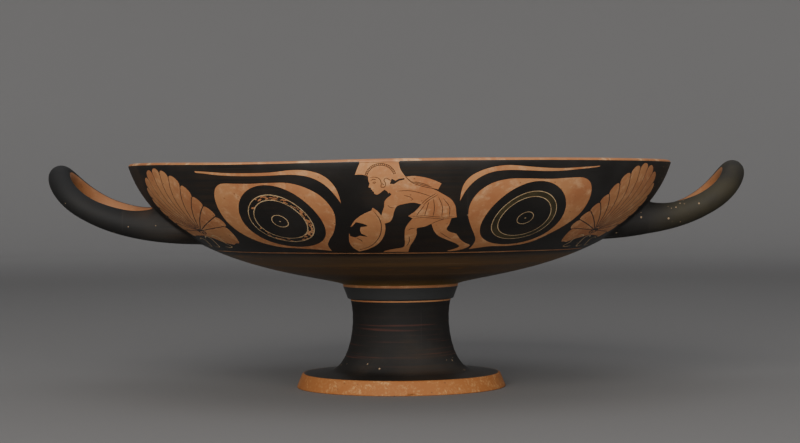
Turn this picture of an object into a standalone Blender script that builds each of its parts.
# A stemmed wine cup of fired clay: a wide shallow bowl thrown on the wheel, a flaring hollow
# foot, and two upturned horseshoe handles pressed on at the sides. Metres, +Z up. The cup
# stands on the ring under its foot, with the origin at the ring's centre and the handles
# along X.
import math

import bmesh
import bpy
from mathutils import Vector

# Foot disc, from the ring it rests on to the top of the disc
FOOT_RADIUS = 0.0624
FOOT_EDGE_HEIGHT = 0.0083
FOOT_EDGE_SLANT = 0.0034
DISC_HEIGHT = 0.0097
DISC_INNER_RADIUS = 0.0420
RESTING_RING_WIDTH = 0.0080
# Stem, as a bell curve from the disc up to the step under the collar
STEM_HEIGHT = 0.0430
STEM_TOP_RADIUS = 0.0301
STEM_WAIST_PULL = 0.0039
STEM_FLARE_PULL = 0.0120
STEM_SHOULDER = 0.0126
STEM_RISE = 0.0034
# Collar between stem and bowl, with a narrow upright band over it
COLLAR_STEP = 0.0014
COLLAR_HEIGHT = 0.0075
COLLAR_FLARE = 0.0028
COLLAR_BAND_HEIGHT = 0.0012
# Hollow that runs up under the foot and into the stem
HOLLOW_CAP_THICKNESS = 0.0208
HOLLOW_TOP_RADIUS = 0.0095
HOLLOW_THROAT_SHARE = 0.48
HOLLOW_THROAT_LEAN = 0.0026
HOLLOW_THROAT_RISE = 0.0110
HOLLOW_MOUTH_RUN = 0.0140
HOLLOW_MOUTH_RISE = 0.0040
STEM_WALL = 0.0096
# Bowl
RIM_RADIUS = 0.1604
BOWL_HEIGHT = 0.0720
BOWL_UNDERSIDE_RUN = 0.0149
BOWL_UNDERSIDE_RISE = 0.0058
BOWL_SIDE_LEAN = 0.0192
BOWL_SIDE_DROP = 0.0611
BOWL_WALL = 0.0042
BOWL_FLOOR_THICKNESS = 0.0062
BOWL_FLOOR_ROUNDING = 0.4
LIP_WIDTH = 0.0036
# Handles: horseshoes bent up from the wall, each set on by hand
HANDLE_LEFT_REACH = 0.0418
HANDLE_RIGHT_REACH = 0.0378
HANDLE_LEFT_TWIST = math.radians(1.6)
HANDLE_RIGHT_TWIST = math.radians(-2.4)
HANDLE_BOW_DROP = 0.0065
HANDLE_ROOT_DROP = 0.0367
HANDLE_ARM_RUN = 0.0700
HANDLE_ARM_SAG = 0.0034
HANDLE_BOW_LEAN = 0.0040
HANDLE_BOW_FALL = 0.0063
HANDLE_BOW_HALF_WIDTH = 0.0300
HANDLE_ROOT_HALF_WIDTH = 0.0340
HANDLE_BOW_THICKNESS = 0.0131
HANDLE_ROOT_THICKNESS = 0.0188
HANDLE_ROOT_LIFT = 0.0062
HANDLE_ROOT_FLARE = 0.0280
HANDLE_ROOT_SINK = 0.0225
BARE_SIDE_SHARE = 0.6
# Small chip out of the foot's lower edge
CHIP_WIDTH = 0.0064
CHIP_HEIGHT = 0.0016
CHIP_DEPTH = 0.0012
CHIP_AZIMUTH = math.radians(-84.7)
# Fineness of the faceted surfaces
TURNED_SIDES = 72
STEM_STEPS = 9
BOWL_STEPS = 12
FLOOR_STEPS = 4
HOLLOW_STEPS = 5
LIP_STEPS = 4
HANDLE_SIDES = 14
HANDLE_ARM_STEPS = 10
HANDLE_BOW_STEPS = 12
PATH_SAMPLES = 400
SHARP_EDGE = math.radians(35.0)
# Which of the two finishes a band of the surface has
GLOSS = 0
CLAY = 1

COLLAR_BASE = DISC_HEIGHT + STEM_HEIGHT
COLLAR_TOP = COLLAR_BASE + COLLAR_HEIGHT
BOWL_BASE = COLLAR_TOP + COLLAR_BAND_HEIGHT
RIM_HEIGHT = BOWL_BASE + BOWL_HEIGHT
COLLAR_RADIUS = STEM_TOP_RADIUS + COLLAR_STEP
BOWL_BASE_RADIUS = COLLAR_RADIUS + COLLAR_FLARE
HOLLOW_TOP = BOWL_BASE + BOWL_FLOOR_THICKNESS - HOLLOW_CAP_THICKNESS


def clear_scene():
    for item in list(bpy.data.objects):
        bpy.data.objects.remove(item, do_unlink=True)


def principled(name, colour, roughness, coat):
    material = bpy.data.materials.new(name)
    material.use_nodes = True
    shader = material.node_tree.nodes["Principled BSDF"]
    shader.inputs["Base Color"].default_value = (*colour, 1.0)
    shader.inputs["Roughness"].default_value = roughness
    shader.inputs["Metallic"].default_value = 0.0
    shader.inputs["Coat Weight"].default_value = coat
    material.diffuse_color = (*colour, 1.0)
    return material


def bezier(start, pull_start, pull_end, end, parts):
    # Points on a cubic curve, both ends included
    points = []
    for step in range(parts + 1):
        t = step / parts
        s = 1.0 - t
        weights = (s ** 3, 3.0 * s * s * t, 3.0 * s * t * t, t ** 3)
        corners = (start, pull_start, pull_end, end)
        points.append(tuple(sum(w * c[axis] for w, c in zip(weights, corners)) for axis in (0, 1)))
    return points


def lip():
    # Half round from the outer wall over to the inner wall
    radius = LIP_WIDTH / 2.0
    centre = (RIM_RADIUS - radius, RIM_HEIGHT - radius)
    points = []
    for step in range(LIP_STEPS + 1):
        angle = math.pi * step / LIP_STEPS
        points.append((centre[0] + radius * math.cos(angle), centre[1] + radius * math.sin(angle)))
    return points


def bowl_outside(parts):
    # Outer wall from the collar to the lip, as (radius, height)
    return bezier(
        (BOWL_BASE_RADIUS, BOWL_BASE),
        (BOWL_BASE_RADIUS + BOWL_UNDERSIDE_RUN, BOWL_BASE + BOWL_UNDERSIDE_RISE),
        (RIM_RADIUS - BOWL_SIDE_LEAN, RIM_HEIGHT - BOWL_SIDE_DROP),
        (RIM_RADIUS, RIM_HEIGHT - LIP_WIDTH / 2.0),
        parts,
    )


def bowl_inside(depth):
    # A surface inside the wall, from the lip down to the axis; depth 1 is the bowl's own
    # inner side and depth 0.5 the middle of the wall
    outside = bowl_outside(BOWL_STEPS)
    floor_height = BOWL_BASE + BOWL_FLOOR_THICKNESS * depth
    points = [(RIM_RADIUS - LIP_WIDTH * depth, outside[-1][1])]
    for index in range(BOWL_STEPS - 1, 0, -1):
        along = (Vector(outside[index + 1]) - Vector(outside[index - 1])).normalized()
        inward = Vector((-along.y, along.x)) * BOWL_WALL * depth
        points.append((outside[index][0] + inward.x, outside[index][1] + inward.y))
    kept = [point for point in points if point[0] > BOWL_BASE_RADIUS and point[1] > floor_height]
    last = kept[-1]
    slope = Vector((last[0] - kept[-2][0], last[1] - kept[-2][1])).normalized()
    reach = last[0] * BOWL_FLOOR_ROUNDING
    pull = (last[0] + slope.x * reach, max(last[1] + slope.y * reach, floor_height))
    middle = bezier(last, pull, (reach, floor_height), (0.0, floor_height), FLOOR_STEPS)
    return kept + middle[1:]


def stem():
    # From the disc up to the step under the collar
    return bezier(
        (DISC_INNER_RADIUS, DISC_HEIGHT),
        (DISC_INNER_RADIUS - STEM_FLARE_PULL, DISC_HEIGHT + STEM_RISE),
        (STEM_TOP_RADIUS - STEM_WAIST_PULL, COLLAR_BASE - STEM_SHOULDER),
        (STEM_TOP_RADIUS, COLLAR_BASE),
        STEM_STEPS,
    )


def foot_hollow():
    # Underside of the hollow, from the axis down to the inner edge of the resting ring
    mouth = (FOOT_RADIUS - RESTING_RING_WIDTH, 0.0)
    throat = (STEM_TOP_RADIUS - STEM_WALL, HOLLOW_TOP * HOLLOW_THROAT_SHARE)
    upper = bezier(
        (0.0, HOLLOW_TOP),
        (HOLLOW_TOP_RADIUS, HOLLOW_TOP),
        (throat[0] - HOLLOW_THROAT_LEAN, throat[1] + HOLLOW_THROAT_RISE),
        throat,
        HOLLOW_STEPS,
    )
    lower = bezier(
        throat,
        (throat[0] + HOLLOW_THROAT_LEAN, throat[1] - HOLLOW_THROAT_RISE),
        (mouth[0] - HOLLOW_MOUTH_RUN, HOLLOW_MOUTH_RISE),
        mouth,
        HOLLOW_STEPS,
    )
    return upper + lower[1:]


def link(name, shape):
    # Turn a finished bmesh into an object whose faces point outward
    bmesh.ops.recalc_face_normals(shape, faces=shape.faces)
    mesh = bpy.data.meshes.new(name)
    shape.to_mesh(mesh)
    shape.free()
    item = bpy.data.objects.new(name, mesh)
    bpy.context.collection.objects.link(item)
    return item


def turn(name, bands):
    # Spin bands of (points, finish) into a closed body; the first point of the first band and
    # the last point of the last one are on the axis, and each band starts where the one
    # before it ended
    profile = list(bands[0][0])
    finishes = [bands[0][1]] * (len(profile) - 1)
    for points, finish in bands[1:]:
        finishes += [finish] * (len(points) - 1)
        profile += points[1:]
    shape = bmesh.new()
    first = shape.verts.new((0.0, 0.0, profile[0][1]))
    last = shape.verts.new((0.0, 0.0, profile[-1][1]))
    rings = []
    for radius, height in profile[1:-1]:
        ring = []
        for side in range(TURNED_SIDES):
            angle = 2.0 * math.pi * side / TURNED_SIDES
            ring.append(shape.verts.new((radius * math.cos(angle), radius * math.sin(angle), height)))
        rings.append(ring)
    for side in range(TURNED_SIDES):
        following = (side + 1) % TURNED_SIDES
        cap = shape.faces.new((first, rings[0][side], rings[0][following]))
        cap.material_index = finishes[0]
        for index, (lower, upper) in enumerate(zip(rings, rings[1:])):
            face = shape.faces.new((lower[side], upper[side], upper[following], lower[following]))
            face.material_index = finishes[index + 1]
        cap = shape.faces.new((rings[-1][side], last, rings[-1][following]))
        cap.material_index = finishes[-1]
    return link(name, shape)


def handle_side_curve(reach):
    # The handle seen from the side: its centre line from inside the wall out to the bow
    root_height = RIM_HEIGHT - HANDLE_ROOT_DROP
    wall = [point for point in bowl_outside(PATH_SAMPLES) if point[1] <= root_height][-1]
    root = (wall[0] - HANDLE_ROOT_SINK, root_height)
    bow = (RIM_RADIUS + reach, RIM_HEIGHT - HANDLE_BOW_DROP)
    return bezier(
        root,
        (root[0] + HANDLE_ARM_RUN, root[1] - HANDLE_ARM_SAG),
        (bow[0] - HANDLE_BOW_LEAN, bow[1] - HANDLE_BOW_FALL),
        bow,
        PATH_SAMPLES,
    )


def horseshoe(arm_length):
    # The loop laid flat: distance from the root, offset sideways, and the direction in both
    spread = HANDLE_ROOT_HALF_WIDTH - HANDLE_BOW_HALF_WIDTH
    arm = []
    for step in range(HANDLE_ARM_STEPS):
        share = step / HANDLE_ARM_STEPS
        back = 1.0 - share
        across = HANDLE_BOW_HALF_WIDTH + spread * back * back
        arm.append((arm_length * share, -across, arm_length, 2.0 * spread * back))
    bow = []
    for step in range(HANDLE_BOW_STEPS + 1):
        angle = math.pi * (step / HANDLE_BOW_STEPS - 0.5)
        forward = HANDLE_BOW_HALF_WIDTH * math.cos(angle)
        bow.append((arm_length + forward, HANDLE_BOW_HALF_WIDTH * math.sin(angle),
                    -math.sin(angle), math.cos(angle)))
    back_arm = [(along, -across, -forward, inward) for along, across, forward, inward in arm]
    return arm + bow + back_arm[::-1]


def handle_stations(reach):
    # Centre, direction, surface normal, thickness and lift along one loop, root to root
    side = handle_side_curve(reach)
    lengths = [0.0]
    for before, after in zip(side, side[1:]):
        lengths.append(lengths[-1] + math.dist(before, after))
    arm_length = lengths[-1] - HANDLE_BOW_HALF_WIDTH
    stations = []
    for along, across, forward, sideways in horseshoe(arm_length):
        index = min(range(len(lengths)), key=lambda i: abs(lengths[i] - along))
        before = Vector(side[max(index - 1, 0)])
        after = Vector(side[min(index + 1, len(side) - 1)])
        slope = (after - before).normalized()
        direction = Vector((slope.x * forward, sideways, slope.y * forward)).normalized()
        normal = Vector((-slope.y, 0.0, slope.x))
        near_bow = min(along / arm_length, 1.0)
        thinning = (HANDLE_ROOT_THICKNESS - HANDLE_BOW_THICKNESS) * near_bow
        near_root = max(0.0, 1.0 - (along - HANDLE_ROOT_SINK) / HANDLE_ROOT_FLARE)
        lift = HANDLE_ROOT_LIFT * min(near_root, 1.0) ** 2
        centre = Vector((side[index][0], across, side[index][1]))
        stations.append((centre, direction, normal, HANDLE_ROOT_THICKNESS - thinning, lift))
    return stations


def handle(name, facing, reach, twist):
    # One handle as a closed tube; facing is +1 or -1 along X, and its inner side is bare clay
    shape = bmesh.new()
    rings = []
    for centre, direction, normal, thickness, lift in handle_stations(reach):
        across = direction.cross(normal)
        tilt = centre.y * facing * math.sin(twist)
        ring = []
        for side in range(HANDLE_SIDES):
            angle = 2.0 * math.pi * side / HANDLE_SIDES
            height = math.cos(angle) * thickness / 2.0 + max(math.cos(angle), 0.0) * lift
            point = centre + normal * height + across * math.sin(angle) * thickness / 2.0
            ring.append(shape.verts.new((point.x * facing, point.y * facing, point.z + tilt)))
        rings.append(ring)
    for lower, upper in zip(rings, rings[1:]):
        for side in range(HANDLE_SIDES):
            following = (side + 1) % HANDLE_SIDES
            face = shape.faces.new((lower[side], lower[following], upper[following], upper[side]))
            middle = 2.0 * math.pi * (side + 0.5) / HANDLE_SIDES
            face.material_index = CLAY if math.sin(middle) < -BARE_SIDE_SHARE else GLOSS
    shape.faces.new(rings[0])
    shape.faces.new(rings[-1])
    return link(name, shape)


def wall_core():
    # What fills the bowl up to the middle of its wall: it trims the handles' roots
    inner = bowl_inside(0.5)
    top = RIM_HEIGHT + BOWL_HEIGHT
    return turn("wall_core", [([(0.0, top), (inner[0][0], top)] + inner, GLOSS)])


def chip_cutter():
    # A flattened ball that bites into the foot's lower edge
    shape = bmesh.new()
    bmesh.ops.create_icosphere(shape, subdivisions=2, radius=1.0)
    size = (CHIP_DEPTH * 2.0, CHIP_WIDTH / 2.0, CHIP_HEIGHT)
    bmesh.ops.scale(shape, vec=size, verts=shape.verts)
    item = link("foot_chip", shape)
    reach = FOOT_RADIUS + CHIP_DEPTH
    item.location = (reach * math.cos(CHIP_AZIMUTH), reach * math.sin(CHIP_AZIMUTH), 0.0)
    item.rotation_euler = (0.0, 0.0, CHIP_AZIMUTH)
    return item


def boolean(target, other, operation):
    other.hide_render = True
    other.display_type = "WIRE"
    step = target.modifiers.new(other.name, "BOOLEAN")
    step.operation = operation
    step.solver = "EXACT"
    step.object = other


def cup_bands():
    # The whole turned profile: hollow, foot edge, disc and stem, collar, bowl, lip, inside
    edge_top = (FOOT_RADIUS - FOOT_EDGE_SLANT, FOOT_EDGE_HEIGHT)
    collar_low = (COLLAR_RADIUS, COLLAR_BASE)
    collar_high = (BOWL_BASE_RADIUS, COLLAR_TOP)
    hollow = foot_hollow()
    outside = bowl_outside(BOWL_STEPS)
    return [
        (hollow + [(FOOT_RADIUS, 0.0), edge_top], CLAY),
        ([edge_top] + stem() + [collar_low, collar_high], GLOSS),
        ([collar_high, outside[0]], CLAY),
        (outside, GLOSS),
        (lip(), CLAY),
        (bowl_inside(1.0), GLOSS),
    ]


def build():
    clear_scene()
    gloss = principled("black_gloss", (0.020, 0.018, 0.017), 0.32, 0.15)
    clay = principled("reserved_clay", (0.44, 0.20, 0.085), 0.62, 0.0)
    cup = turn("kylix", cup_bands())
    core = wall_core()
    sides = (
        ("handle_right", 1.0, HANDLE_RIGHT_REACH, HANDLE_RIGHT_TWIST),
        ("handle_left", -1.0, HANDLE_LEFT_REACH, HANDLE_LEFT_TWIST),
    )
    for name, facing, reach, twist in sides:
        loop = handle(name, facing, reach, twist)
        loop.data.materials.append(gloss)
        loop.data.materials.append(clay)
        boolean(loop, core, "DIFFERENCE")
        boolean(cup, loop, "UNION")
    boolean(cup, chip_cutter(), "DIFFERENCE")
    cup.data.materials.append(gloss)
    cup.data.materials.append(clay)
    cup.data.shade_smooth()
    cup.data.set_sharp_from_angle(angle=SHARP_EDGE)


build()
